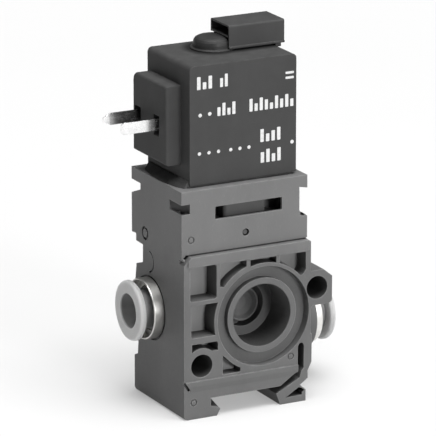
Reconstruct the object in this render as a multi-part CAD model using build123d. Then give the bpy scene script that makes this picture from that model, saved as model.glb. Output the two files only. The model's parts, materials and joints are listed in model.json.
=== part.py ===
from build123d import *
import math
import os

# Pneumatic 3/2-way pilot valve with a plug-on solenoid coil.
# Millimetres, +Z up. While modelling, X runs from the body's left face to the
# right, Y from the lower front face to the rear and Z up from the feet. Every
# piece is moved at the end so that the origin is the centre of the bounding
# box's bottom face.

# ---------------------------------------------------------------- dimensions
# body
body_w = 33.2            # upper block width
frame_w = 33.65          # lower frame width
frame_front = 0.0        # front plane of the lower frame
bar_proud = 0.3          # the two cross bars stand this far proud of it
upper_front = 1.17       # front plane of the upper block
rear_plane = 25.95       # rear stacking face
rear_ear = 27.0          # rear ears of the upper block
under_z = 4.65           # underside between the feet
body_top = 55.4
frame_top = 39.4
# supply bore and its ring groove
sx, sz = 21.0, 22.8
supply_r = 7.6
supply_depth = 10.3
gallery_r = 5.35
stub_r = 4.15           # dished stub between supply bore and valve barrel
ring_out_r = 13.05
groove_out_r = 12.15
groove_in_r = 9.15
groove_depth = 2.4
collar_recess = 0.8
# bolt holes
bolt_a = (4.65, 12.9)
bolt_a_r = 2.8
bolt_b = (35.3, 27.75)
bolt_b_r = 2.8
# vertical valve axis, shared by the spool, the piston and the solenoid tube
ax, ay = 16.7, 17.5
barrel_r = 6.1
bore_r = 4.7
piston_bore_r = 6.5
bore_bottom = 7.0
piston_floor = 31.0
stroke = 2.5
# cavity for the pilot base
cav = (3.8, 29.4, 3.5, 24.4)
cav_floor = 39.5
# push-in tube fittings
fy = 17.4
left_seat, left_z = 0.0, 23.1
right_seat, right_z = 40.4, 15.9
cart_r = 6.6
cart_depth = 9.5
boss_r = 8.5
tube_r = 4.05
ring_front = 6.0         # release ring face ahead of the seat
rim_left, rim_right = 2.63, 2.3   # collar rim ahead of the seat
neck_r = 4.7             # exposed neck of the release ring
# coil
coil = (3.38, 31.38, 3.5, 25.6)
coil_z0, coil_z1 = 55.9, 84.46
plug = (-0.5, 3.38, 7.96, 25.2, 60.1, 79.1)
blade_tip = -9.7
blade_w, blade_t = 2.8, 0.5
blade_z = 69.0
blade_y = (13.0, 22.4)
tube_out_r, tube_in_r = 4.2, 3.88
coil_bore_r = 4.35
armature_gap = 0.9
cap_top = 87.4
# coil clip
clip = (18.35, 33.0, 12.5, 21.75, 84.52, 90.52)
clip_wall = 0.45
dome_r = 4.8             # widest radius of the cap's dome
flange_r = 5.4           # foot flange of the tube cap

cx = (blade_tip + right_seat + ring_front) / 2
cy = (frame_front - bar_proud + rear_ear) / 2


# ------------------------------------------------------------------- helpers
def box(x0, x1, y0, y1, z0, z1):
    return Pos((x0 + x1) / 2, (y0 + y1) / 2, (z0 + z1) / 2) * Box(x1 - x0, y1 - y0, z1 - z0)


def rod_x(y, z, r, x0, x1):
    return Pos((x0 + x1) / 2, y, z) * Rot(0, 90, 0) * Cylinder(r, x1 - x0)


def rod_y(x, z, r, y0, y1):
    return Pos(x, (y0 + y1) / 2, z) * Rot(90, 0, 0) * Cylinder(r, y1 - y0)


def rod_z(x, y, r, z0, z1):
    return Pos(x, y, (z0 + z1) / 2) * Cylinder(r, z1 - z0)


def prism_y(pts, y0, y1):
    wire = Polyline(*[Vector(x, y0, z) for x, z in pts], close=True)
    return extrude(make_face(wire), amount=y1 - y0, dir=(0, 1, 0))


def prism_x(pts, x0, x1):
    wire = Polyline(*[Vector(x0, y, z) for y, z in pts], close=True)
    return extrude(make_face(wire), amount=x1 - x0, dir=(1, 0, 0))


def prism_z(pts, z0, z1):
    wire = Polyline(*[Vector(x, y, z0) for x, y in pts], close=True)
    return extrude(make_face(wire), amount=z1 - z0, dir=(0, 0, 1))


def turned(pts):
    """Solid of revolution about Z from (radius, height) points."""
    wire = Polyline(*[Vector(r, 0, z) for r, z in pts], close=True)
    return revolve(make_face(wire), Axis.Z, 360)


def ring(r_in, r_out, h0, h1):
    return turned([(r_in, h0), (r_out, h0), (r_out, h1), (r_in, h1)])


def coil_spring(radius, wire_r, z0, z1, turns):
    h = z1 - z0 - 2 * wire_r
    path = Helix(pitch=h / turns, height=h, radius=radius)
    profile = Plane(path @ 0, z_dir=path % 0) * Circle(wire_r)
    return Pos(0, 0, z0 + wire_r) * sweep(profile, path=path, is_frenet=True)


def soften(shape, edges, radius):
    """Round the edges; if the kernel refuses the set, keep the sharp form."""
    try:
        out = fillet(edges, radius)
        if out.is_valid and out.volume > 0:
            return out
    except Exception as err:
        print("fillet left out:", radius, type(err).__name__)
    return shape


parts = {}

# ---------------------------------------------------------------- valve body
lower = box(0, frame_w, frame_front, rear_plane, under_z, frame_top)
upper = box(0, body_w, upper_front, rear_plane, frame_top - 0.2, body_top)
body = lower + upper
# rear ears: a band above the stacking face and a lip at the top
body += box(0, body_w, rear_plane - 0.5, rear_ear, 39.3, 49.1)
body += box(0, body_w, rear_plane - 0.5, rear_ear, 52.35, body_top)
# cross bars, slightly proud of the frame
body += prism_y([(1.05, 37.4), (33.05, 37.4), (33.05, 39.75), (1.85, 39.75), (1.05, 38.95)],
                frame_front - bar_proud, 3.0)
body += prism_x([(frame_front - bar_proud, 8.1), (frame_front + 0.05, 6.5), (2.0, 6.5), (2.0, 9.35),
                 (frame_front - bar_proud, 9.35)], 0.3, 30.6)
# right-hand boss for the tube fitting
body += rod_x(fy, right_z, boss_r, 30.0, right_seat)
# ear for the upper right bolt, full depth
body += prism_y([(32.5, 32.0), (37.1, 32.0), (39.4, 30.1), (39.4, 24.0), (38.6, 23.4),
                 (34.2, 23.4), (33.65, 22.6), (32.5, 22.6)], frame_front, rear_plane)
# gusset between ear and boss
body += box(33.0, 38.0, fy - 2.0, fy + 2.0, 20.0, 25.0)
# rigid rail hook on the left
body += prism_y([(0.9, 0.0), (0.26, 0.27), (0.0, 0.9), (0.0, 6.0), (7.05, 6.0), (7.05, 2.65),
                 (9.25, 2.0), (9.55, 1.62), (8.65, 0.0)], frame_front, rear_plane)
# its nose rises towards the rail seat
body += prism_x([(0.2, 1.95), (4.8, 3.0), (rear_plane, 3.0), (rear_plane, 1.5), (0.2, 1.5)], 7.0, 9.25)
# sprung latch on the right: foot across the full depth, arm at the front only
foot = prism_y([(24.5, 2.9), (24.85, 2.0), (25.55, 0.0), (32.4, 0.0), (32.4, 2.85), (31.45, 3.6),
                (30.9, 4.17), (32.94, 5.6), (32.95, 6.6), (31.1, 6.6), (30.75, 5.95)],
               frame_front, rear_plane)
foot -= prism_y([(27.05, 1.53), (30.5, 3.62), (31.35, 3.32), (32.05, 2.72), (31.4, 2.15), (31.4, 1.62)],
                frame_front - 1, rear_plane + 1)
arm = prism_y([(30.75, 5.9), (32.94, 5.6), (32.93, 7.5), (33.75, 9.07), (33.95, 9.6), (34.0, 16.5), (31.9, 16.5),
               (31.85, 8.3), (31.2, 7.55), (30.95, 6.6)], frame_front, 8.0)
# free space round the latch
gap_low = prism_y([(20.0, under_z - 3), (25.2, under_z - 3), (25.2, 4.4), (29.6, 7.35),
                   (30.0, 7.5), (36.0, 7.5), (36.0, 0.0), (20.0, 0.0)], frame_front - 1, rear_plane + 1)
gap_high = prism_y([(30.25, 7.1), (30.27, 13.8), (30.55, 14.45), (31.1, 14.7), (31.6, 14.45),
                    (31.9, 13.8), (31.9, 7.1)], frame_front - 1, 8.4)
gap_back = box(30.3, 36.0, 8.0, 8.4, 7.0, 14.6)
body -= gap_low
body -= gap_high
body -= gap_back
# clear the front corner to the right of the arm below its root
body -= prism_y([(32.93, 7.0), (36, 7.0), (36, 16.5), (34.0, 16.5), (33.95, 9.6), (33.75, 9.07), (32.93, 7.5)],
                frame_front - 1, 8.4)
body += foot
body += arm

# left and right rear corner reliefs of the upper block
rear_cut_up = [(22.35, 52.35), (22.4, 50.8), (27.3, 48.95), (27.3, 52.35)]
body -= prism_x(rear_cut_up, -1, 2.4)
body -= prism_x(rear_cut_up, 30.8, 34)
# rear left edge of the lower frame, stepped for the moulding's core pulls
body -= prism_x([(27.3, 39.3), (24.8, 39.5), (24.8, 37.7), (21.2, 37.6), (21.3, 33.2), (24.65, 32.1),
                 (25.3, 27.9), (25.95, 25.0), (27.3, 25.0)], -1, 3.4)
body -= prism_x([(27.3, 15.0), (24.4, 15.0), (23.9, 12.5), (24.2, 9.7), (25.95, 8.9), (27.3, 8.9)], -1, 1.2)
body -= prism_x([(27.3, 39.3), (24.8, 39.5), (24.8, 37.7), (22.4, 37.6), (22.4, 33.6), (27.3, 33.6)], 31.0, 35)
# front left corner catch
body -= prism_z([(-1, 0), (2.2, 0), (2.2, 2.3), (0.4, 7.3), (-1, 7.3)], 49.95, 52.3)
body -= box(0.6, 1.5, 1.9, 4.4, 49.2, 50.0)
# front right corner catch with its shoulder
body -= prism_y([(31.1, 52.7), (34.5, 52.0), (34.5, 44.6), (33.1, 45.5), (32.74, 45.85), (31.3, 46.7),
                 (31.1, 47.0)], 0, 8.8)
body -= prism_y([(31.35, 46.6), (31.35, 45.7), (32.4, 45.5), (32.4, 46.1)], 0, 3.4)
# step in the top right rear corner
body -= prism_y([(31.1, 52.7), (34.5, 52.0), (34.5, 47.0), (31.1, 47.0)], 17.5, 22.6)

# supply bore, ring groove, gallery round the valve barrel, rear opening
body -= rod_y(sx, sz, supply_r, -1, supply_depth)
body -= rod_y(sx, sz, groove_out_r, -1, groove_depth) - rod_y(sx, sz, groove_in_r, -2, groove_depth + 1)
body -= rod_y(sx, sz, groove_in_r + 0.01, -1, collar_recess)
gallery = rod_y(sx, sz, gallery_r, supply_depth - 1, 24.0) - rod_z(ax, ay, barrel_r, 0, 45)
body -= gallery
body -= rod_y(sx, sz, supply_r, ay + barrel_r, 30)

# coring pockets in the front face
ring_mask = rod_y(sx, sz, ring_out_r, -2, 8)
pocket_y = 5.0
pocket_set = [
    prism_y([(1.65, 29.3), (2.05, 28.9), (8.2, 28.9), (8.6, 29.3), (8.6, 36.8), (8.2, 37.2), (2.05, 37.2), (1.65, 36.8)], -1, pocket_y),
    prism_y([(1.9, 20.3), (2.25, 19.95), (9.4, 19.95), (9.4, 27.9), (2.25, 27.9), (1.9, 27.55)], -1, pocket_y) - ring_mask,
    prism_y([(2.1, 16.2), (8.95, 16.2), (8.95, 18.4), (2.1, 18.4)], -1, pocket_y) - ring_mask - rod_y(bolt_a[0], bolt_a[1], 4.3, -2, 8),
    prism_y([(9.5, 31.5), (10.5, 31.3), (16.5, 34.0), (16.5, 37.1), (9.5, 37.1)], -1, 3.1) - rod_y(sx, sz, 13.55, -2, 8),
    prism_y([(17.5, 35.0), (24.4, 35.0), (24.4, 37.0), (17.5, 37.0)], -1, 3.4) - ring_mask,
    prism_y([(25.3, 37.1), (32.3, 37.0), (32.3, 32.75), (31.7, 31.7), (31.1, 31.35), (30.4, 31.45), (27.0, 32.0), (25.3, 33.0)], -1, 4.4) - ring_mask,
    prism_y([(10.2, 14.55), (10.2, 9.9), (14.6, 9.9), (14.9, 10.15), (14.9, 11.2)], -1, 3.2) - rod_y(sx, sz, 13.35, -2, 8),
]
for p in pocket_set:
    body -= p
# rear coring
body -= box(4.6, 9.0, 21.4, 27, 31.9, 37.0)
body -= box(24.6, 29.8, 20.6, 27, 31.9, 37.0)
body -= box(24.6, 29.2, 21.6, 27, 9.6, 14.4)
body -= box(8.6, 14.6, 24.4, 27, 9.6, 13.4)

# bolt holes
body -= rod_y(bolt_a[0], bolt_a[1], bolt_a_r, -1, 28)
body -= rod_y(bolt_b[0], bolt_b[1], bolt_b_r, -1, 28)

# relief line above the upper cross bar, bevelled corner and lower bar's end notch
body -= box(1.1, 33.6, 0, upper_front + 0.6, 39.75, 40.1)
body -= prism_y([(-0.5, 37.55), (0.05, 37.85), (1.85, 39.75), (1.85, 40.1), (1.1, 40.1), (-0.5, 38.45)], -1, 2.6)
body -= prism_y([(-0.5, 9.5), (0.3, 9.36), (0.5, 9.0), (1.5, 7.45), (1.95, 6.4), (-0.5, 6.4)], -1, 0.0)
body -= prism_y([(-0.5, 9.45), (0.3, 9.3), (0.5, 8.95), (1.5, 7.4), (1.1, 7.1), (0.1, 8.4), (-0.5, 8.9)], -1, 0.7)

# fitting holes and passages
body -= rod_x(fy, left_z, cart_r, -1, cart_depth)
body -= rod_x(fy, right_z, cart_r, right_seat - cart_depth, right_seat + 1)
body -= rod_x(ay, 18.0, 1.6, cart_depth - 0.5, 13.0)
body -= rod_x(ay, 12.0, 1.6, 20.0, right_seat - cart_depth + 0.5)

# valve bore, piston bore, cavity for the pilot base
body -= rod_z(ax, ay, bore_r, bore_bottom, piston_floor + 0.5)
body -= rod_z(ax, ay, piston_bore_r, piston_floor, cav_floor + 0.5)
body -= box(20.0, 24.6, ay - 1.6, ay + 1.6, 22.9, 25.9)
body -= box(cav[0], cav[1], cav[2], cav[3], cav_floor, body_top + 1)
# pilot supply channel up from the gallery and vent below the piston
body -= rod_z(24.6, 12.2, 0.8, 27.0, cav_floor + 1)
# dished stub standing on the front of the valve barrel
dish = turned([(0, -0.5), (stub_r - 0.35, -0.5), (stub_r - 0.35, 0), (stub_r - 1.1, 1.0), (stub_r - 2.4, 1.75), (0, 1.95)])
stub = rod_y(sx, sz, stub_r, supply_depth + 0.3, ay - 0.3)
stub -= Pos(sx, supply_depth + 0.3, sz) * Rot(-90, 0, 0) * dish
stub -= rod_z(ax, ay, (barrel_r + bore_r) / 2, 10, 36)
stub -= box(19.0, 24.6, ay - 1.6, ay + 1.6, 22.9, 25.9)
stub = stub.solids().sort_by(SortBy.VOLUME)[-1]
body += stub
body -= rod_y(ax, 32.0, 0.6, 22.0, 27.5)

# window in the front wall, rounded ends
win = box(8.8, 26.45, 0, cav[2] + 0.5, 47.8, 50.9)
win = fillet(win.edges().filter_by(Axis.Y), 0.3)
body -= win
body -= box(7.5, 27.8, 1.9, cav[2] + 0.2, 47.2, 51.6)
# override hole
ox, oz = 16.86, 43.62
body -= rod_y(ox, oz, 0.9, 0, cav[2] + 0.5)

# small ejector marks: shallow ring grooves in the front faces
for mx, mz, my in ((2.5, 4.15, frame_front), (28.3, 11.7, frame_front), (2.46, 43.6, upper_front)):
    body -= rod_y(mx, mz, 0.9, my - 0.5, my + 0.25) - rod_y(mx, mz, 0.52, my - 1.0, my + 1.0)
# ejector mark on the left face
body -= rod_x(20.1, 40.7, 1.7, -1.0, 0.5) - rod_x(20.1, 40.7, 1.05, -2.0, 0.6)
# curved witness groove above the left fitting
hook = rod_x(18.2, 34.3, 2.75, -1.0, 0.4) - rod_x(18.2, 34.3, 2.35, -2.0, 1.0) - box(-2, 2, 17.9, 22.0, 30.0, 38.0)
body -= hook
# undercut round the left fitting's collar
body -= rod_x(fy, left_z, 7.85, -1, 0.45) - rod_x(fy, left_z, 7.2, -2, 1)

parts["valve_body"] = body

# ------------------------------------------------------------- pilot section
parts["pilot_gasket"] = (box(4.1, 29.1, 3.8, 24.1, cav_floor, 40.2)
                         - rod_z(ax, ay, piston_bore_r, 39, 41) - rod_z(24.6, 12.2, 0.8, 39, 41))

base = box(4.0, 29.2, 5.8, 24.2, 40.2, 55.2)
base += box(4.0, 29.2, 3.7, 5.9, 52.4, 55.2)
base += box(4.0, 29.2, 3.7, 5.9, 40.2, 46.6)
base -= box(5.2, 28.0, 5.0, 7.4, 46.9, 52.3)
tongue = box(12.45, 23.1, 3.7, 7.6, 47.0, 52.6)
tongue = fillet(tongue.edges().filter_by(Axis.Z).group_by(Axis.X)[0].sort_by(Axis.Y)[0:1], 0.9)
base += tongue
chamber_z, tube_z0 = 46.2, 47.2
base -= rod_z(ax, ay, 3.9, chamber_z, tube_z0 + 0.1)
base -= ring(4.4, 5.8, tube_z0 - 0.8, tube_z0 + 0.1).moved(Location((ax, ay, 0)))
base -= rod_z(ax, ay, 6.25, tube_z0, 56)
base -= rod_z(ax, ay, 1.2, 41.9, chamber_z + 0.1)
base -= rod_z(24.6, 12.2, 0.6, 39, 42.6)
chan_len = math.hypot(24.6 - ax, ay - 12.2)
chan = Rot(0, 90, 0) * Cylinder(0.55, chan_len)
base -= Pos((24.6 + ax) / 2, (12.2 + ay) / 2, 42.2) * Rot(0, 0, math.degrees(math.atan2(ay - 12.2, ax - 24.6))) * chan
base -= rod_z(ax - 2.9, ay, 0.6, 39, chamber_z + 0.1)
base -= rod_y(ox, oz, 1.75, 3.0, 9.6)
base -= rod_y(ox, oz, 0.95, 9.0, 13.6)
base -= rod_z(ox, 13.0, 0.5, 39, 43.7)
parts["pilot_base"] = base

nozzle = turned([(0.4, 43.0), (1.2, 43.0), (1.2, 46.3), (0.9, 47.4), (0.4, 47.4)])
parts["pilot_nozzle"] = Pos(ax, ay, 0) * nozzle
parts["tube_o_ring"] = Pos(ax, ay, tube_z0 - 0.4) * Torus(5.1, 0.38)

tube = turned([(tube_in_r, tube_z0), (6.2, tube_z0), (6.2, tube_z0 + 1.0), (tube_out_r, tube_z0 + 1.0),
               (tube_out_r, 84.3), (tube_in_r, 84.3)])
parts["armature_tube"] = Pos(ax, ay, 0) * tube
nut = ring(4.3, 6.2, tube_z0 + 1.0, 53.6) - box(-7, 7, -0.6, 0.6, 52.6, 54)
parts["tube_nut"] = Pos(ax, ay, 0) * nut

core_z0 = 65.92
core = turned([(0, core_z0 + 1.1), (1.9, core_z0 + 1.1), (1.9, core_z0), (3.4, core_z0), (tube_in_r, core_z0 + 0.4),
               (tube_in_r, 84.3), (2.0, 84.3), (2.0, 86.5), (0, 86.5)])
parts["fixed_core"] = Pos(ax, ay, 0) * core
arm_z0, arm_z1 = 47.6, core_z0 - armature_gap - 0.02
plunger = turned([(0, 49.0), (1.7, 49.0), (1.7, arm_z0), (3.3, arm_z0), (3.78, arm_z0 + 0.5), (3.78, arm_z1 - 0.4),
                  (3.4, arm_z1), (1.9, arm_z1), (1.9, 58.0), (0, 58.0)])
plunger -= box(3.2, 5, -0.5, 0.5, 47, 66)
plunger -= box(-5, -3.2, -0.5, 0.5, 47, 66)
parts["armature"] = Pos(ax, ay, 0) * plunger
parts["armature_seal"] = rod_z(ax, ay, 1.7, 47.4, 49.0)
parts["armature_spring"] = Pos(ax, ay, 0) * coil_spring(1.5, 0.22, 58.02, core_z0 + 1.08, 8)

# override pin, reached with a small tool through the hole in the front wall
pin = turned([(0, -0.65), (0.55, -0.65), (0.75, -0.45), (0.75, 4.6), (1.45, 4.6), (1.45, 5.4), (0.75, 5.4), (0.75, 7.6),
              (0.5, 7.6), (0.5, 8.7), (0.75, 8.7), (0.75, 9.6), (0.4, 10.0), (0, 10.0)])
parts["override_pin"] = Pos(ox, 2.2, oz) * Rot(-90, 0, 0) * pin
parts["override_seal"] = Pos(ox, 2.2, oz) * Rot(-90, 0, 0) * ring(0.5, 0.9, 7.65, 8.65)
parts["override_spring"] = Pos(ox, 2.2, oz) * Rot(-90, 0, 0) * (coil_spring(1.15, 0.16, 5.41, 6.15, 2))

# ---------------------------------------------------------------------- coil
housing = box(coil[0], coil[1], coil[2], coil[3], coil_z0, coil_z1)
top_sides = housing.edges().filter_by(Axis.Y).group_by(Axis.Z)[-1].sort_by(Axis.X)
housing = soften(housing, top_sides[0:1], 1.2)
top_sides = housing.edges().filter_by(Axis.Y).group_by(Axis.X)[-1].sort_by(Axis.Z)
housing = soften(housing, top_sides[-1:], 1.1)
for face in (housing.faces().sort_by(Axis.Y)[0], housing.faces().sort_by(Axis.Y)[-1]):
    outline = [e for e in face.edges() if e.center().Z > coil_z0 + 0.5]
    housing = soften(housing, outline, 0.7)
block = box(plug[0], plug[1] + 2.0, plug[2], plug[3], plug[4], plug[5])
block = soften(block, block.edges().filter_by(Axis.X).group_by(Axis.Z)[-1].sort_by(Axis.Y)[-1:], 2.0)
block = soften(block, block.faces().sort_by(Axis.X)[0].edges(), 0.6)
housing += block
# recesses in the plug face round the blades
housing -= box(plug[0] - 1, plug[0] + 1.6, 11.5, 14.4, 66.3, 71.3)
housing -= box(plug[0] - 1, plug[0] + 1.6, 21.0, 24.2, 66.3, 71.2)

bobbin = ring(coil_bore_r, 4.85, 59.2, 81.4) + ring(coil_bore_r, 7.1, 59.2, 60.2) + ring(coil_bore_r, 7.1, 80.4, 81.4)
bobbin = Pos(ax, ay, 0) * bobbin
winding = Pos(ax, ay, 0) * ring(4.85, 6.9, 60.2, 80.4)
yoke = (box(7.4, 26.0, 12.6, 22.4, 57.6, 59.2) + box(7.4, 26.0, 12.6, 22.4, 81.4, 83.0)
        + box(7.4, 8.8, 12.6, 22.4, 57.6, 83.0) + box(24.6, 26.0, 12.6, 22.4, 57.6, 83.0))
yoke -= rod_z(ax, ay, coil_bore_r, 50, 90)


def blade(y, run, drop):
    t = blade_tip
    w = blade_w / 2
    flat = prism_y([(t, blade_z - w + drop), (t + run, blade_z - w), (5.6, blade_z - w), (5.6, blade_z + w),
                    (t + run, blade_z + w), (t, blade_z + w - drop)], y - blade_t / 2, y + blade_t / 2)
    # thinned tip
    flat -= prism_z([(t - 1, y - 0.1), (t, y - 0.1), (t + 1.6, y - blade_t / 2), (t + 1.6, y - 1), (t - 1, y - 1)], 60, 80)
    flat -= prism_z([(t - 1, y + 0.1), (t, y + 0.1), (t + 1.6, y + blade_t / 2), (t + 1.6, y + 1), (t - 1, y + 1)], 60, 80)
    return flat


blade_a, blade_b = blade(blade_y[0], 0.7, 0.45), blade(blade_y[1], 1.9, 0.95)
housing -= rod_z(ax, ay, coil_bore_r, 50, 90)
for insert in (bobbin, winding, yoke, blade_a, blade_b):
    housing -= insert
parts["coil_housing"] = housing
parts["coil_bobbin"] = bobbin
parts["coil_winding"] = winding
parts["magnet_yoke"] = yoke
parts["blade_front"] = blade_a
parts["blade_rear"] = blade_b
gasket = box(3.0, 31.1, 3.75, 24.8, body_top, coil_z0)
gasket = soften(gasket, gasket.edges().filter_by(Axis.Z).group_by(Axis.X)[-1], 1.6)
# bulged skirt on the connector side, rising against the coil
foot_line = [(3.36, 3.75), (2.0, 3.9), (1.1, 6.15), (0.45, 9.9), (0.2, 13.1), (0.35, 16.8), (0.95, 20.5), (1.65, 23.3),
             (2.6, 24.7), (3.36, 24.8)]
head_line = [(3.36, 4.2), (3.25, 4.3), (3.15, 6.15), (3.1, 9.9), (3.1, 13.1), (3.1, 16.8), (3.1, 20.5), (3.1, 23.3),
             (3.2, 24.3), (3.36, 24.4)]
outline_low = make_face(Polyline(*[Vector(x, y, body_top) for x, y in foot_line], close=True))
outline_mid = make_face(Polyline(*[Vector(x, y, body_top + 1.5) for x, y in head_line], close=True))
gasket += loft([outline_low, outline_mid], ruled=True)
parts["coil_gasket"] = gasket - rod_z(ax, ay, 4.4, 50, 60)

# cap over the solenoid tube
cap = turned([(2.1, coil_z1), (flange_r, coil_z1), (flange_r, 84.72), (flange_r - 0.12, 84.84), (dome_r + 0.1, 84.87),
              (dome_r, 84.98), (dome_r - 0.08, 85.8), (dome_r - 0.24, 86.4), (dome_r - 0.6, 86.92),
              (dome_r - 1.15, 87.22), (dome_r - 1.9, 87.36), (dome_r - 2.7, cap_top), (0, cap_top), (0, 86.6), (2.1, 86.6)])
parts["tube_cap"] = Pos(ax, ay, 0) * cap

# hollow clip that locks the cap with its inner shelf, drawn off to the right
c = clip
shell = box(c[0], c[1], c[2], c[3], c[4] + 0.45, c[5])
shell = soften(shell, shell.edges().filter_by(Axis.X).group_by(Axis.Z)[-1], 0.45)
shell -= box(c[0] - 1, c[1] - 0.8, c[2] + clip_wall, c[3] - clip_wall, c[4] + 0.9, c[5] - clip_wall)
# lip along the foot of both walls, recessed sole below it, hook over the coil's right edge
shell += box(c[0], c[1], c[2] - 0.22, c[3] + 0.22, c[4] + 0.45, c[4] + 0.9)
shell += box(c[0] + 0.7, coil[1] - 1.2, c[2] + 1.1, c[3] - 1.1, c[4], c[4] + 0.5)
shell += box(coil[1] + 0.08, c[1] - 0.1, c[2] + 1.4, c[3] - 1.4, c[4] - 0.85, c[4] + 0.5)
# shelf over the cap
shell += box(c[0], c[1] - 0.4, c[2] + 0.2, c[3] - 0.2, cap_top + 0.1, cap_top + 0.45)
# room for the cap, open to the left
shell -= rod_z(ax, ay, dome_r + 0.12, 80, cap_top + 0.02)
shell -= rod_z(ax, ay, flange_r + 0.16, 80, c[4] + 0.46)
parts["coil_clip"] = shell

# -------------------------------------------------------------- main valve
cage = ring(3.3, bore_r, bore_bottom + 0.05, piston_floor - 0.1)
for z0, z1 in ((10.0, 14.0), (16.0, 20.0), (22.9, 25.9)):
    cage -= box(-6, 6, -1.4, 1.4, z0, z1)
    cage -= box(-1.4, 1.4, -6, 6, z0, z1)
for zg in (8.5, 15.0, 21.45, 28.6):
    cage -= ring(3.9, bore_r + 0.5, zg - 0.42, zg + 0.42)
parts["valve_cage"] = Pos(ax, ay, 0) * cage
o_rings = [Pos(ax, ay, zg) * Torus(4.3, 0.38) for zg in (8.5, 15.0, 21.45, 28.6)]
parts["cage_o_rings"] = Compound(children=o_rings)

spool = turned([(1.75, 10.0), (2.3, 10.0), (2.3, 14.6), (1.7, 14.9), (1.7, 16.3), (2.95, 16.5), (2.95, 17.0), (2.2, 17.0),
                (2.2, 18.1), (2.95, 18.1), (2.95, 18.6), (1.7, 18.8), (1.7, 20.2), (2.95, 20.4), (2.95, 20.9),
                (2.2, 20.9), (2.2, 22.0), (2.95, 22.0), (2.95, 22.5), (1.7, 22.7), (1.7, 27.9), (2.95, 28.1),
                (2.95, 28.6), (2.2, 28.6), (2.2, 29.7), (2.95, 29.7), (2.95, 30.2), (0, 30.2), (0, 13.7), (1.75, 13.7)])
parts["valve_spool"] = Pos(ax, ay, 0) * spool
parts["spool_seals"] = Compound(children=[Pos(ax, ay, 0) * ring(2.2, 3.24, z + 0.02, z + 1.08) for z in (17.0, 20.9, 28.6)])
piston = turned([(0, 30.2), (2.2, 30.2), (2.2, 33.6), (5.9, 33.9), (6.35, 34.2), (6.35, 35.1), (5.3, 35.1), (5.3, 36.3),
                 (6.35, 36.3), (6.35, 37.0), (6.0, 37.3), (3.0, 37.3), (3.0, 36.2), (0, 36.2)])
parts["piston"] = Pos(ax, ay, 0) * piston
parts["piston_seal"] = Pos(ax, ay, 0) * ring(5.3, 6.43, 35.12, 36.28)
parts["return_spring"] = Pos(ax, ay, 0) * coil_spring(1.4, 0.22, 7.06, 13.68, 6)


# ------------------------------------------------------------ tube fittings
def fitting(place, side, rim):
    """Push-in fitting; local +Z points out of the body, the seat is Z = 0."""
    sleeve = turned([(3.2, -9.3), (6.3, -9.3), (6.58, -9.0), (6.58, -7.5), (5.5, -7.5), (5.5, -6.1), (6.58, -6.1),
                     (6.58, 0.0), (7.35, 0.0), (7.35, rim - 0.3), (7.28, rim - 0.1), (7.1, rim), (6.92, rim - 0.08), (6.82, rim - 0.3),
                     (6.82, 0.45), (5.5, 0.45), (5.5, 0.1), (5.95, -0.25), (5.95, -5.6), (tube_r, -5.6), (tube_r, -9.0), (3.2, -9.0)])
    parts["fitting_collar_" + side] = place * sleeve
    parts["fitting_o_ring_" + side] = place * (Pos(0, 0, -6.8) * Torus(6.02, 0.5))
    parts["tube_seal_" + side] = place * turned([(4.12, -5.58), (5.95, -5.58), (5.95, -4.5), (4.5, -4.5), (4.12, -4.9)])
    grab = turned([(5.5, -4.48), (5.95, -4.48), (5.95, -4.26), (5.5, -4.26), (4.16, -4.1), (4.12, -4.3)])
    for k in range(8):
        grab -= Rot(0, 0, 45 * k) * box(3.5, 5.1, -0.22, 0.22, -5, -3.5)
    parts["grab_ring_" + side] = place * grab
    rr = turned([(4.12, -2.55), (4.6, -2.55), (5.7, -1.6), (5.7, -1.2), (5.35, -1.1), (5.35, 0.3), (neck_r, 0.6), (neck_r, 4.45), (6.9, 4.45), (7.25, 4.8),
                 (7.25, ring_front - 0.55), (7.05, ring_front - 0.16), (6.7, ring_front), (4.4, ring_front),
                 (4.2, ring_front - 0.12), (4.12, ring_front - 0.4)])
    for k in range(4):
        rr -= Rot(0, 0, 90 * k + 45) * box(3.5, 6.5, -0.35, 0.35, -4, 0.9)
    parts["release_ring_" + side] = place * rr


fitting(Pos(left_seat, fy, left_z) * Rot(0, -90, 0), "left", rim_left)
fitting(Pos(right_seat, fy, right_z) * Rot(0, 90, 0), "right", rim_right)

# ------------------------------------------------------------------- export
os.makedirs("parts", exist_ok=True)
for name, shape in parts.items():
    export_step(Pos(-cx, -cy, 0) * shape, "parts/" + name + ".step")
print("origin offset", cx, cy, "pieces", len(parts))
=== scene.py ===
import json
import math
import bpy
import bmesh
from mathutils import Vector, Matrix


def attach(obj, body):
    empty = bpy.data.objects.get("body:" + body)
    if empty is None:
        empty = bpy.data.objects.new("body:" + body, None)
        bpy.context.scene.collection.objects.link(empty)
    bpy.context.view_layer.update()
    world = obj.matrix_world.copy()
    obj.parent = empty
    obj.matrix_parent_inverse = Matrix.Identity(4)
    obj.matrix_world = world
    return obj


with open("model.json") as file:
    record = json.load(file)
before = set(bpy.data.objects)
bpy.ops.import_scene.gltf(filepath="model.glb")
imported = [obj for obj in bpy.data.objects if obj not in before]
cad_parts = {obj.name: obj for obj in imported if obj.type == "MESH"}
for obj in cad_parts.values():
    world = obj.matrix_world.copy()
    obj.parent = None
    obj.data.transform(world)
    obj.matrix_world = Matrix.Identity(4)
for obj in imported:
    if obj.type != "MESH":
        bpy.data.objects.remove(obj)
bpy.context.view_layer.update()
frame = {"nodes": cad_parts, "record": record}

NODES = frame["nodes"]
MM = 0.001
CX, CY = 18.35, 13.35      # the row origin in the modelling frame, mm


def P(x, y, z):
    """A point of the modelling frame (mm) in the row frame (m)."""
    return Vector(((x - CX) * MM, (y - CY) * MM, z * MM))


scene = bpy.context.scene
scene.view_settings.view_transform = "Standard"
scene.view_settings.look = "None"
scene.view_settings.exposure = 0.0
scene.view_settings.gamma = 1.0

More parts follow.
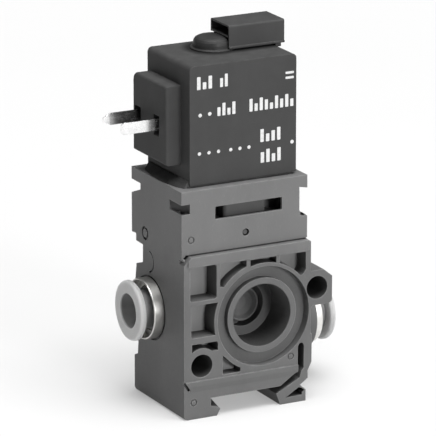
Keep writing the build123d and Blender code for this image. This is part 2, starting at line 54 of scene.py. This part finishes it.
# ------------------------------------------------------------------ camera
AZ, EL = math.radians(-27.592), math.radians(16.513)
TARGET = P(15.196, 12.0, 44.444)
DIST = 1.02292
view_dir = Vector((math.sin(AZ) * math.cos(EL), -math.cos(AZ) * math.cos(EL), math.sin(EL)))
cam_data = bpy.data.cameras.new("camera")
cam_data.sensor_width = 36.0
cam_data.lens = 358.73
cam_data.clip_start = 0.05
cam_data.clip_end = 60.0
cam = bpy.data.objects.new("camera", cam_data)
scene.collection.objects.link(cam)
cam.location = TARGET + view_dir * DIST
cam.rotation_euler = view_dir.to_track_quat("Z", "Y").to_euler()
scene.camera = cam


# ------------------------------------------------------------- node helpers
class Mat:
    """A small builder for procedural materials."""

    def __init__(self, name):
        self.mat = bpy.data.materials.new(name)
        self.mat.use_nodes = True
        self.nt = self.mat.node_tree
        self.nt.nodes.clear()
        self.out = self.nt.nodes.new("ShaderNodeOutputMaterial")
        self.bsdf = self.nt.nodes.new("ShaderNodeBsdfPrincipled")
        self.nt.links.new(self.bsdf.outputs[0], self.out.inputs[0])
        self.coord = self.nt.nodes.new("ShaderNodeTexCoord").outputs["Object"]

    def link(self, a, b):
        self.nt.links.new(a, b)

    def node(self, kind, **inputs):
        n = self.nt.nodes.new(kind)
        for k, v in inputs.items():
            if hasattr(v, "is_linked") or isinstance(v, bpy.types.NodeSocket):
                self.link(v, n.inputs[k])
            else:
                n.inputs[k].default_value = v
        return n

    def mapped(self, scale=(1, 1, 1), loc=(0, 0, 0), rot=(0, 0, 0)):
        n = self.nt.nodes.new("ShaderNodeMapping")
        self.link(self.coord, n.inputs["Vector"])
        n.inputs["Scale"].default_value = scale
        n.inputs["Location"].default_value = loc
        n.inputs["Rotation"].default_value = rot
        return n.outputs[0]

    def noise(self, scale, detail=3.0, rough=0.5, vector=None, distortion=0.0):
        n = self.nt.nodes.new("ShaderNodeTexNoise")
        self.link(vector if vector is not None else self.coord, n.inputs["Vector"])
        n.inputs["Scale"].default_value = scale
        n.inputs["Detail"].default_value = detail
        n.inputs["Roughness"].default_value = rough
        n.inputs["Distortion"].default_value = distortion
        return n.outputs["Fac"]

    def voronoi(self, scale, feature="F1", vector=None):
        n = self.nt.nodes.new("ShaderNodeTexVoronoi")
        n.feature = feature
        self.link(vector if vector is not None else self.coord, n.inputs["Vector"])
        n.inputs["Scale"].default_value = scale
        return n.outputs["Distance"]

    def ramp(self, fac, stops):
        n = self.nt.nodes.new("ShaderNodeValToRGB")
        cr = n.color_ramp
        while len(cr.elements) > 1:
            cr.elements.remove(cr.elements[-1])
        cr.elements[0].position = stops[0][0]
        cr.elements[0].color = self.rgba(stops[0][1])
        for pos, col in stops[1:]:
            e = cr.elements.new(pos)
            e.color = self.rgba(col)
        self.link(fac, n.inputs["Fac"])
        return n.outputs["Color"]

    @staticmethod
    def rgba(c):
        if isinstance(c, (int, float)):
            return (c, c, c, 1.0)
        return (c[0], c[1], c[2], 1.0)

    def math(self, op, a, b=0.0, clamp=False, c=None):
        n = self.nt.nodes.new("ShaderNodeMath")
        n.operation = op
        n.use_clamp = clamp
        for i, v in enumerate((a, b) if c is None else (a, b, c)):
            if isinstance(v, bpy.types.NodeSocket):
                self.link(v, n.inputs[i])
            else:
                n.inputs[i].default_value = v
        return n.outputs[0]

    def mix(self, fac, a, b, blend="MIX"):
        n = self.nt.nodes.new("ShaderNodeMix")
        n.data_type = "RGBA"
        n.blend_type = blend
        for sock, v in ((n.inputs[0], fac), (n.inputs[6], a), (n.inputs[7], b)):
            if isinstance(v, bpy.types.NodeSocket):
                self.link(v, sock)
            elif isinstance(v, (int, float)) and sock.type == "RGBA":
                sock.default_value = self.rgba(v)
            elif sock.type == "RGBA":
                sock.default_value = self.rgba(v)
            else:
                sock.default_value = v
        return n.outputs[2]

    def bump(self, height, dist, strength=1.0, normal=None):
        n = self.nt.nodes.new("ShaderNodeBump")
        n.inputs["Strength"].default_value = strength
        n.inputs["Distance"].default_value = dist
        self.link(height, n.inputs["Height"])
        if normal is not None:
            self.link(normal, n.inputs["Normal"])
        return n.outputs[0]

    def bevel(self, radius, samples=6):
        n = self.nt.nodes.new("ShaderNodeBevel")
        n.samples = samples
        n.inputs["Radius"].default_value = radius
        return n.outputs[0]

    def edge(self, radius, samples=6):
        """0 on flats, towards 1 at edges, from how far the rounded normal leans."""
        geo = self.nt.nodes.new("ShaderNodeNewGeometry")
        dot = self.nt.nodes.new("ShaderNodeVectorMath")
        dot.operation = "DOT_PRODUCT"
        rounded = self.bevel(radius, samples)
        self.link(rounded, dot.inputs[0])
        self.link(geo.outputs["Normal"], dot.inputs[1])
        lean = self.math("SUBTRACT", 1.0, dot.outputs["Value"], clamp=True)
        return self.math("MULTIPLY", lean, 3.4, clamp=True)

    def recess(self, reach, samples=8):
        """1 on open faces, towards 0 deep inside recesses."""
        n = self.nt.nodes.new("ShaderNodeAmbientOcclusion")
        n.samples = samples
        n.inputs["Distance"].default_value = reach
        return n.outputs["AO"]

    def set(self, **kw):
        for k, v in kw.items():
            sock = self.bsdf.inputs[k.replace("_", " ")]
            if isinstance(v, bpy.types.NodeSocket):
                self.link(v, sock)
            elif isinstance(v, (int, float)) and sock.type == "RGBA":
                sock.default_value = self.rgba(v)
            else:
                sock.default_value = v


def scaled(c, k):
    return (c * k, c * k, c * k)


def recess_light_and_shade(m, shade):
    """The front recesses of the lower half: painted shade on walls and in holes, painted light on the front-facing
    recess bottoms.
    """
    gate = lambda op, a, b: m.math(op, a, b)
    pos = m.nt.nodes.new("ShaderNodeSeparateXYZ")
    m.link(m.coord, pos.inputs[0])
    geo = m.nt.nodes.new("ShaderNodeNewGeometry")
    nrm = m.nt.nodes.new("ShaderNodeSeparateXYZ")
    m.link(geo.outputs["Normal"], nrm.inputs[0])
    x, y, z = pos.outputs
    facing = m.math("MULTIPLY", m.math("MULTIPLY", nrm.outputs["Y"], -1.0), 1.5, clamp=True)
    wall = m.math("SUBTRACT", 1.0, facing, clamp=True)

    def between(a, lo, hi):
        return m.math("MULTIPLY", gate("GREATER_THAN", a, lo), gate("LESS_THAN", a, hi))

    def bore(bx, bz, r):
        c = P(bx, 0, bz)
        dx = m.math("SUBTRACT", x, c.x)
        dz = m.math("SUBTRACT", z, c.z)
        rr = m.math("ADD", m.math("MULTIPLY", dx, dx), m.math("MULTIPLY", dz, dz))
        return gate("LESS_THAN", rr, (r * MM) ** 2)

    a, b = P(1.0, 0.25, 9.6), P(33.0, 12.5, 37.3)
    inside = m.math("MULTIPLY", between(x, a.x, b.x), m.math("MULTIPLY", between(y, a.y, b.y), between(z, a.z, b.z)))
    # the front-facing bottoms of the recesses get almost no painted shade
    shade = m.math("MULTIPLY", shade, m.math("SUBTRACT", 1.0, m.math("MULTIPLY", inside, m.math("MULTIPLY", facing, 0.9))))
    # painted shade on the recess walls that don't face up
    flat = m.math("MULTIPLY", m.math("MAXIMUM", nrm.outputs["Z"], 0.0), 1.3, clamp=True)
    side = m.math("MULTIPLY", m.math("MULTIPLY", inside, wall), m.math("SUBTRACT", 1.0, flat))
    shade = m.math("MAXIMUM", shade, m.math("MULTIPLY", side, 0.62))
    # painted shade inside the bolt holes all round
    holes = m.math("MULTIPLY", m.math("MAXIMUM", bore(4.65, 12.9, 2.9), bore(35.3, 27.75, 2.9)), 0.86)
    holes = m.math("MULTIPLY", m.math("MULTIPLY", holes, wall), gate("GREATER_THAN", y, P(0, 0.1, 0).y))
    shade = m.math("MAXIMUM", shade, holes)
    # the supply bore: painted shade on its wall, deeper where the wall faces up, on its seat deepening upwards, and
    # on the stub's face towards its right, which stays clean on its left
    deep = m.math("MULTIPLY", bore(21.0, 22.8, 7.75), gate("GREATER_THAN", y, P(0, 0.6, 0).y))
    flank = m.math("MULTIPLY", wall, m.math("ADD", 0.28, m.math("MULTIPLY", m.math("MAXIMUM", nrm.outputs["Z"], 0.0), 0.9)))
    seat = m.math("MULTIPLY", facing, m.ramp(m.math("MULTIPLY", m.math("SUBTRACT", z, P(0, 0, 17.5).z), 250.0), [(0.0, 0.15), (1.0, 0.72)]))
    inner = m.math("MULTIPLY", bore(21.0, 22.8, 4.25), gate("LESS_THAN", y, P(0, 16.0, 0).y))
    side = m.ramp(m.math("MULTIPLY", m.math("SUBTRACT", x, P(20.6, 0, 0).x), 330.0), [(0.0, 0.0), (1.0, 0.85)])
    own = m.math("ADD", flank, seat)
    own = m.math("ADD", m.math("MULTIPLY", own, m.math("SUBTRACT", 1.0, inner)), m.math("MULTIPLY", side, inner))
    shade = m.math("ADD", m.math("MULTIPLY", shade, m.math("SUBTRACT", 1.0, deep)), m.math("MULTIPLY", own, deep), clamp=True)

    def corner(lo, hi, k):
        lo, hi = P(*lo), P(*hi)
        part = m.math("MULTIPLY", between(x, lo.x, hi.x), m.math("MULTIPLY", between(y, lo.y, hi.y), between(z, lo.z, hi.z)))
        return m.math("MULTIPLY", part, k)

    # painted shade in the left catch and on the inner side of the latch foot
    shade = m.math("MAXIMUM", shade, corner((0.08, 1.25, 49.9), (2.3, 7.6, 52.36), 0.8))
    shade = m.math("MAXIMUM", shade, m.math("MULTIPLY", corner((24.3, 0.1, 0.0), (25.9, 25.9, 3.2), 0.75), wall))
    # painted light: the front-facing recess bottoms, and a little of the stub's face, are marked to be lightened
    pocket = m.math("MULTIPLY", m.math("MULTIPLY", inside, facing), gate("GREATER_THAN", y, P(0, 1.5, 0).y))
    pocket = m.math("MULTIPLY", pocket, m.math("SUBTRACT", 1.0, bore(21.0, 22.8, 13.3)))
    return shade, m.math("ADD", pocket, m.math("MULTIPLY", m.math("MULTIPLY", inner, deep), 0.2), clamp=True)


def split(m):
    pos = m.nt.nodes.new("ShaderNodeSeparateXYZ")
    m.link(m.coord, pos.inputs[0])
    return pos.outputs


def distance(m, a, a0, b, b0):
    da, db = m.math("SUBTRACT", a, a0), m.math("SUBTRACT", b, b0)
    return m.math("SQRT", m.math("ADD", m.math("MULTIPLY", da, da), m.math("MULTIPLY", db, db)))


def ring_shade(m):
    """Release rings: painted shade in the tube hole, on the neck and on the rim side, darker than the pressed face.
    """
    x, y, z = split(m)
    geo = m.nt.nodes.new("ShaderNodeNewGeometry")
    nrm = m.nt.nodes.new("ShaderNodeSeparateXYZ")
    m.link(geo.outputs["Normal"], nrm.inputs[0])
    right = m.math("GREATER_THAN", x, P(20, 0, 0).x)
    axis_z = m.math("SUBTRACT", P(0, 0, 23.1).z, m.math("MULTIPLY", right, 7.2 * MM))
    r = m.math("MULTIPLY", distance(m, y, P(0, 17.4, 0).y, z, axis_z), 100.0)
    wall = m.math("SUBTRACT", 1.0, m.math("MULTIPLY", m.math("ABSOLUTE", nrm.outputs["X"], 0.0), 1.5, clamp=True), clamp=True)
    zone = m.math("MAXIMUM", m.ramp(r, [(0.485, 0.76), (0.53, 0.0)]), m.ramp(r, [(0.69, 0.0), (0.715, 0.22)]))
    return m.math("MULTIPLY", wall, zone)


def clip_contact_shadow(m):
    """Painted shadow on the coil's top, in front of the clip and round the cap's flange."""
    x, y, z = split(m)
    top = m.math("GREATER_THAN", z, P(0, 0, 84.3).z)
    front = m.ramp(m.math("MULTIPLY", m.math("SUBTRACT", y, P(0, 9.9, 0).y), 400.0), [(0.0, 0.0), (0.75, 1.0)])
    span = m.ramp(m.math("MULTIPLY", m.math("SUBTRACT", x, P(17.5, 0, 0).x), 500.0), [(0.0, 0.0), (0.6, 1.0)])
    strip = m.math("MULTIPLY", m.math("MULTIPLY", front, span), m.math("LESS_THAN", y, P(0, 21.5, 0).y))
    r = m.math("MULTIPLY", distance(m, x, P(16.7, 0, 0).x, y, P(0, 17.5, 0).y), 100.0)
    around = m.ramp(r, [(0.60, 1.0), (0.78, 0.0)])
    return m.math("MULTIPLY", m.math("MULTIPLY", m.math("MAXIMUM", strip, around), top), 0.85)


def moulded(name, base, rough=0.5, grain=2600.0, grain_bump=0.000012, mottle=0.09, edge_r=0.00022,
            edge_gain=1.25, dust=0.05, tint=(1.0, 1.0, 1.0), spec=0.45, fibre=True, recess_shade=0.0, low_shade=0.0,
            reach=(0.22, 0.58), cored=False, glow=0.0, wear_and_shade=None):
    """Moulded plastic: fine spark-eroded grain, flow mottling, rounded edges with a painted highlight."""
    m = Mat(name)
    col = lambda k: (base * k * tint[0], base * k * tint[1], base * k * tint[2])
    big = m.noise(55.0, 3.0, 0.55)
    mid = m.noise(420.0, 4.0, 0.6)
    fine = m.noise(grain, 2.0, 0.65)
    # flow mottling, slightly drawn out along the height
    flow = m.noise(140.0, 4.0, 0.6, m.mapped((1.0, 1.0, 0.35)), 0.6)
    lum = m.math("ADD", m.math("MULTIPLY", big, 0.45), m.math("MULTIPLY", flow, 0.35))
    lum = m.math("ADD", lum, m.math("MULTIPLY", mid, 0.2))
    colour = m.ramp(lum, [(0.30, col(1 - mottle)), (0.5, col(1.0)), (0.70, col(1 + mottle))])
    if fibre:
        # short glass fibres just under the skin, as faint lighter flecks
        fl = m.noise(3600.0, 2.0, 0.5, m.mapped((1.0, 1.0, 0.22), rot=(0.5, 0.3, 0.7)))
        colour = m.mix(m.ramp(fl, [(0.62, 0.0), (0.74, 0.35)]), colour, col(1.35))
    if low_shade:
        # painted shade: the lower half is a touch darker than the upper half
        sep_z = m.nt.nodes.new("ShaderNodeSeparateXYZ")
        m.link(m.coord, sep_z.inputs[0])
        height = m.math("ADD", sep_z.outputs["Z"], m.math("MULTIPLY", m.math("SUBTRACT", big, 0.5), 0.02))
        colour = m.mix(m.ramp(m.math("MULTIPLY", height, 20.0), [(0.66, 1.0), (0.80, 0.0)]), colour,
                       scaled(1.0, low_shade), "MULTIPLY")
    # painted highlight: the edges are lighter, mottled by noise
    edge = m.edge(edge_r * 1.6)
    edge_highlight = m.math("MULTIPLY", edge, m.ramp(mid, [(0.35, 0.35), (0.65, 1.0)]))
    colour = m.mix(edge_highlight, colour, col(edge_gain))
    if dust:
        geo = m.nt.nodes.new("ShaderNodeNewGeometry")
        sep = m.nt.nodes.new("ShaderNodeSeparateXYZ")
        m.link(geo.outputs["Normal"], sep.inputs[0])
        up = m.math("MULTIPLY", m.math("MAXIMUM", sep.outputs["Z"], 0.0), dust)
        up = m.math("MULTIPLY", up, m.ramp(mid, [(0.4, 0.2), (0.7, 1.0)]))
        colour = m.mix(up, colour, (0.5, 0.5, 0.5))
    if recess_shade:
        # painted shade: the colour darkens where ambient occlusion finds a recess, crease or gap between parts
        shade = m.ramp(m.recess(0.003), [(reach[0], 1.0), (reach[1], 0.0)])
        if cored:
            shade = m.math("MAXIMUM", shade, m.ramp(m.recess(0.014), [(0.08, 1.0), (0.33, 0.0)]))
            shade, lit_floors = recess_light_and_shade(m, shade)
            # painted light: the recess bottoms marked in the body are lightened
            colour = m.mix(lit_floors, colour, col(1.65))
        colour = m.mix(m.math("MULTIPLY", shade, recess_shade), colour, col(0.26))
    # painted shade from the given mask: shadow under the clip, shade on the release rings
    if wear_and_shade:
        colour = m.mix(wear_and_shade(m), colour, col(0.26))
    m.set(Base_Color=colour, Roughness=m.ramp(m.math("ADD", m.math("MULTIPLY", fine, 0.5), m.math("MULTIPLY", mid, 0.5)),
                                             [(0.3, rough - 0.07), (0.7, rough + 0.08)]))
    m.bsdf.inputs["Specular IOR Level"].default_value = spec
    if glow:
        # unpigmented plastic lets light through its skin
        m.bsdf.inputs["Subsurface Weight"].default_value = glow
        m.bsdf.inputs["Subsurface Radius"].default_value = (1.0, 1.0, 1.0)
        m.bsdf.inputs["Subsurface Scale"].default_value = 0.0035
    n1 = m.bump(fine, grain_bump, 1.0, m.bevel(edge_r))
    n2 = m.bump(m.math("ADD", m.math("MULTIPLY", mid, 0.6), m.math("MULTIPLY", flow, 0.9)), grain_bump * 1.6, 0.9, n1)
    m.set(Normal=n2)
    return m.mat


def turned_metal(name, base, rough=0.24, axis="X", centre=(0, 0, 0), ring_scale=9000.0, bump_d=0.000004, spot=0.1,
                 tint=(1, 1, 1), edge_r=0.00015):
    """Turned and plated metal: tool rings about its axis, light handling marks, a painted highlight on the edges."""
    m = Mat(name)
    sep = m.nt.nodes.new("ShaderNodeSeparateXYZ")
    off = m.nt.nodes.new("ShaderNodeVectorMath")
    off.operation = "SUBTRACT"
    m.link(m.coord, off.inputs[0])
    off.inputs[1].default_value = centre
    m.link(off.outputs[0], sep.inputs[0])
    axes = [a for a in "XYZ" if a != axis]
    rr = m.math("SQRT", m.math("ADD", m.math("POWER", sep.outputs[axes[0]], 2.0), m.math("POWER", sep.outputs[axes[1]], 2.0)))
    comb = m.nt.nodes.new("ShaderNodeCombineXYZ")
    m.link(rr, comb.inputs[0])
    m.link(sep.outputs[axis], comb.inputs[1])
    rings = m.noise(ring_scale, 1.0, 0.5, comb.outputs[0])
    smear = m.noise(500.0, 3.0, 0.6)
    col = lambda k: (base * k * tint[0], base * k * tint[1], base * k * tint[2])
    colour = m.ramp(smear, [(0.35, col(1 - spot)), (0.65, col(1.0))])
    # painted highlight: the edges a touch lighter
    colour = m.mix(m.edge(edge_r * 1.5), colour, col(1.12))
    m.set(Base_Color=colour, Metallic=1.0, Roughness=m.ramp(m.math("ADD", m.math("MULTIPLY", smear, 0.6), m.math("MULTIPLY", rings, 0.4)),
                                                           [(0.3, rough - 0.06), (0.7, rough + 0.1)]))
    m.set(Normal=m.bump(rings, bump_d, 1.0, m.bevel(edge_r)))
    return m.mat


def sheet_metal(name, base, rough=0.25, stretch=(0.06, 1.0, 1.0), tint=(1, 1, 1), edge_r=0.0001, root=None):
    """Punched, tin-plated strip: rolled grain along its length, dulled patches."""
    m = Mat(name)
    grain = m.noise(5200.0, 3.0, 0.6, m.mapped(stretch))
    patch = m.noise(650.0, 4.0, 0.6)
    col = lambda k: (base * k * tint[0], base * k * tint[1], base * k * tint[2])
    colour = m.ramp(patch, [(0.35, col(0.9)), (0.6, col(1.0))])
    if root:
        # painted reflection: the blade darkens towards its root, standing in for the dark coil mirrored in it
        x = split(m)[0]
        coil_reflection = m.math("MULTIPLY", m.math("SUBTRACT", x, P(root[0], 0, 0).x), 1.0 / ((root[1] - root[0]) * MM))
        coil_reflection = m.math("ADD", coil_reflection, m.math("MULTIPLY", m.math("SUBTRACT", patch, 0.5), 0.5))
        colour = m.mix(m.ramp(coil_reflection, [(0.0, 0.0), (1.0, 0.85)]), colour, col(0.2))
    m.set(Base_Color=colour, Metallic=1.0, Roughness=m.ramp(m.math("ADD", m.math("MULTIPLY", grain, 0.5), m.math("MULTIPLY", patch, 0.5)),
                                                           [(0.3, rough - 0.05), (0.7, rough + 0.08)]))
    m.set(Normal=m.bump(grain, 0.0000025, 1.0, m.bevel(edge_r)))
    return m.mat


def rubber(name, base=0.027):
    m = Mat(name)
    fine = m.noise(3200.0, 2.0, 0.6)
    mid = m.noise(500.0, 3.0, 0.6)
    m.set(Base_Color=m.ramp(mid, [(0.35, base * 0.8), (0.65, base * 1.4)]), Roughness=m.ramp(fine, [(0.3, 0.6), (0.7, 0.8)]))
    m.bsdf.inputs["Specular IOR Level"].default_value = 0.35
    m.set(Normal=m.bump(fine, 0.00001, 0.8, m.bevel(0.0001)))
    return m.mat


def wound_wire(name):
    m = Mat(name)
    wave = m.nt.nodes.new("ShaderNodeTexWave")
    wave.bands_direction = "Z"
    m.link(m.coord, wave.inputs["Vector"])
    wave.inputs["Scale"].default_value = 900.0
    patch = m.noise(400.0, 3.0)
    m.set(Base_Color=m.ramp(patch, [(0.3, (0.35, 0.12, 0.05)), (0.7, (0.6, 0.25, 0.1))]), Metallic=1.0, Roughness=m.ramp(patch, [(0.3, 0.3), (0.7, 0.45)]))
    m.set(Normal=m.bump(wave.outputs["Fac"], 0.00004, 1.0))
    return m.mat


# --------------------------------------------------------------- materials
M = {}
M["body"] = moulded("body_plastic", 0.134, rough=0.52, spec=0.2, recess_shade=0.85, edge_gain=1.75, edge_r=0.00028, low_shade=0.8, cored=True)
M["inner"] = moulded("inner_plastic", 0.085, rough=0.55, spec=0.2, recess_shade=0.7)
M["coil"] = moulded("coil_plastic", 0.052, rough=0.55, grain=2200.0, grain_bump=0.000016, mottle=0.14, edge_gain=1.7, dust=0.03, spec=0.05, fibre=False, edge_r=0.0003,
                    recess_shade=0.35, reach=(0.28, 0.62), wear_and_shade=clip_contact_shadow)
M["clip"] = moulded("clip_plastic", 0.052, rough=0.5, grain=2400.0, mottle=0.12, edge_gain=1.7, dust=0.03, spec=0.08, fibre=False, recess_shade=0.15)
M["cap"] = moulded("cap_plastic", 0.027, rough=0.42, grain=2400.0, mottle=0.12, edge_gain=1.7, dust=0.03, spec=0.16, fibre=False)
M["release"] = moulded("release_plastic", 0.46, rough=0.45, mottle=0.05, edge_gain=1.08, dust=0.0, spec=0.3, fibre=False, recess_shade=0.95,
                       reach=(0.34, 0.66), glow=0.75, wear_and_shade=ring_shade)
M["rubber"] = rubber("seal_rubber")
M["brass"] = turned_metal("turned_brass", 0.8, 0.28, "Z", P(16.7, 17.5, 0), tint=(0.9, 0.68, 0.32))
M["nickel_left"] = turned_metal("nickel_left", 0.58, 0.40, "X", P(0, 17.4, 23.1), tint=(1.0, 0.99, 0.96))
M["nickel_right"] = turned_metal("nickel_right", 0.80, 0.33, "X", P(0, 17.4, 15.9), tint=(1.0, 0.99, 0.96))
M["steel"] = turned_metal("ground_steel", 0.6, 0.3, "Z", P(16.7, 17.5, 0))
M["tin"] = sheet_metal("tin_plate", 0.86, 0.24)
M["tin_rear"] = sheet_metal("tin_plate_rear", 0.86, 0.24, root=(-8.8, -6.3))
M["alu"] = turned_metal("turned_alloy", 0.75, 0.3, "Z", P(16.7, 17.5, 0))
M["wire"] = wound_wire("enamelled_wire")

slot_to_mat = {
    "body_plastic": "body", "inner_plastic": "inner", "coil_plastic": "coil", "clip_plastic": "clip", "cap_plastic": "cap",
    "release_plastic": "release", "rubber": "rubber", "brass": "brass", "steel": "steel", "tinned_metal": "tin",
    "copper_winding": "wire", "aluminium": "alu",
}
for sub in frame["record"]["subparts"]:
    node, sl = sub["node"], sub["material_slot"]
    if sl == "nickel_brass":
        key = "nickel_left" if node.endswith("left") else "nickel_right"
    else:
        key = slot_to_mat[sl]
    if node == "blade_rear":
        key = "tin_rear"
    ob = NODES[node]
    if not ob.material_slots:
        ob.data.materials.append(M[key])
    else:
        for s in ob.material_slots:
            s.material = M[key]


# ------------------------------------------------------------ added pieces
def mesh_object(name, bm, mat, body):
    bmesh.ops.recalc_face_normals(bm, faces=bm.faces)
    me = bpy.data.meshes.new(name)
    bm.to_mesh(me)
    bm.free()
    me.materials.append(mat)
    ob = bpy.data.objects.new(name, me)
    scene.collection.objects.link(ob)
    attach(ob, body)
    return ob


def outline_rounded(x0, x1, z0, z1, r, n=5):
    """Rounded rectangle as (x, z) points, anticlockwise."""
    pts = []
    for cx, cz, a0 in ((x1 - r, z0 + r, -90), (x1 - r, z1 - r, 0), (x0 + r, z1 - r, 90), (x0 + r, z0 + r, 180)):
        for k in range(n + 1):
            a = math.radians(a0 + 90.0 * k / n)
            pts.append((cx + r * math.cos(a), cz + r * math.sin(a)))
    return pts


def outline_disc(cx, cz, r, n=28):
    return [(cx + r * math.cos(2 * math.pi * k / n), cz + r * math.sin(2 * math.pi * k / n)) for k in range(n)]


def add_print(bm, pts, y, t=0.02, inner=None):
    """A printed field: a closed thin film standing t proud of the plane y (mm), with a softened rim."""
    def shrink(loop, d):
        cx = sum(p[0] for p in loop) / len(loop)
        cz = sum(p[1] for p in loop) / len(loop)
        out = []
        for x, z in loop:
            l = math.hypot(x - cx, z - cz) or 1.0
            out.append((x - (x - cx) / l * d, z - (z - cz) / l * d))
        return out
    loops = [[bm.verts.new(P(x, y + 0.03, z)) for x, z in pts],
             [bm.verts.new(P(x, y - t * 0.6, z)) for x, z in pts],
             [bm.verts.new(P(x, y - t, z)) for x, z in shrink(pts, 0.03)]]
    n = len(pts)
    for a, b in zip(loops, loops[1:]):
        for k in range(n):
            bm.faces.new((a[k], a[(k + 1) % n], b[(k + 1) % n], b[k]))
    bm.faces.new(loops[-1])
    bm.faces.new(list(reversed(loops[0])))


def paint(name, base):
    """Pad-printed paint: slightly uneven cover, rubbed thin in places."""
    m = Mat(name)
    wear_and_shade = m.noise(1500.0, 4.0, 0.65)
    m.set(Base_Color=m.ramp(wear_and_shade, [(0.28, base * 0.62), (0.42, base * 0.93), (0.7, base)]),
          Roughness=m.ramp(wear_and_shade, [(0.3, 0.5), (0.7, 0.36)]))
    m.set(Normal=m.bump(m.noise(2600.0, 2.0), 0.000008, 0.8))
    return m.mat


def front_print():
    """Plain bars and dots on the coil's front face."""
    y = 3.5
    bm = bmesh.new()
    bars = [
        (28.5, 30.7, 78.6, 79.15), (28.5, 30.7, 79.8, 80.35),
    ]
    # rows of upright bars of uneven height: (first x, last x, foot z, full height)
    for x, x_end, z, h, steps in (
            (5.3, 9.2, 78.75, 3.05, (1.0, 0.55, 1.0)), (11.3, 13.3, 78.75, 3.05, (0.7, 1.0)),
            (10.6, 15.3, 71.9, 3.0, (0.7, 1.0, 0.55, 1.0)),
            (19.0, 30.6, 71.9, 3.05, (1.0, 0.6, 1.0, 0.8, 0.5, 1.0, 0.7, 1.0, 0.6)),
            (21.9, 27.2, 64.2, 3.1, (1.0, 0.6, 0.8, 1.0)), (22.0, 27.3, 59.15, 3.2, (0.8, 1.0, 0.6, 1.0))):
        n = len(steps)
        wide = (x_end - x) / (n + (n - 1) * 0.62)
        for k, part in enumerate(steps):
            a = x + k * wide * 1.62
            bars.append((a, a + wide, z, z + h * part))
    for x0, x1, z0, z1 in bars:
        add_print(bm, outline_rounded(x0, x1, z0, z1, 0.14, 3), y)
    for x, z, r in ((6.1, 72.6, 0.45), (8.6, 72.7, 0.45), (5.9, 63.4, 0.42), (8.4, 63.4, 0.42), (10.9, 63.4, 0.42),
                    (14.1, 63.4, 0.42), (16.5, 63.4, 0.42), (18.9, 63.4, 0.42), (30.3, 63.25, 0.45)):
        add_print(bm, outline_disc(x, z, r), y)
    return mesh_object("coil_print", bm, paint("print_white", 0.62), "valve")


front_print()


# -------------------------------------------------------- stage and lights
def floor():
    bm = bmesh.new()
    bmesh.ops.create_grid(bm, x_segments=8, y_segments=8, size=6.0)
    me = bpy.data.meshes.new("floor")
    bm.to_mesh(me)
    bm.free()
    m = Mat("floor_paper")
    soft = m.noise(6.0, 2.0)
    m.set(Base_Color=m.ramp(soft, [(0.3, 0.395), (0.7, 0.405)]), Roughness=m.ramp(m.noise(900.0), [(0.3, 0.85), (0.7, 0.95)]))
    m.bsdf.inputs["Specular IOR Level"].default_value = 0.1
    m.bsdf.inputs["Emission Color"].default_value = (1.0, 1.0, 1.0, 1.0)
    m.bsdf.inputs["Emission Strength"].default_value = 0.34
    me.materials.append(m.mat)
    ob = bpy.data.objects.new("floor", me)
    scene.collection.objects.link(ob)


floor()

world = bpy.data.worlds.new("studio")
scene.world = world
world.use_nodes = True
wn = world.node_tree
bg = wn.nodes["Background"]
bg.inputs["Color"].default_value = (1.0, 1.0, 1.0, 1.0)
bg.inputs["Strength"].default_value = 0.10


def area(name, loc, target, size, power, size_y=None):
    ld = bpy.data.lights.new(name, "AREA")
    ld.shape = "RECTANGLE"
    ld.size = size
    ld.size_y = size_y or size
    ld.energy = power
    ob = bpy.data.objects.new(name, ld)
    scene.collection.objects.link(ob)
    ob.location = loc
    ob.rotation_euler = (Vector(loc) - Vector(target)).to_track_quat("Z", "Y").to_euler()
    return ob


def sun(name, direction, strength, angle):
    ld = bpy.data.lights.new(name, "SUN")
    ld.energy = strength
    ld.angle = math.radians(angle)
    ob = bpy.data.objects.new(name, ld)
    scene.collection.objects.link(ob)
    ob.rotation_euler = Vector(direction).to_track_quat("Z", "Y").to_euler()
    return ob


# a frontal key close to the lens axis, a narrow overhead light, the floor as bounce
sun("key", (0.10, -0.97, 0.21), 1.6, 12)
sun("top", (0.02, -0.18, 1.0), 4.4, 44)
# a softbox to the right front, mirrored in the plated collars
box_at = Vector((0.34, -0.46, 0.34))
area("softbox", box_at, (0.0, 0.0, 0.03), 0.36, 1.15, 0.46)
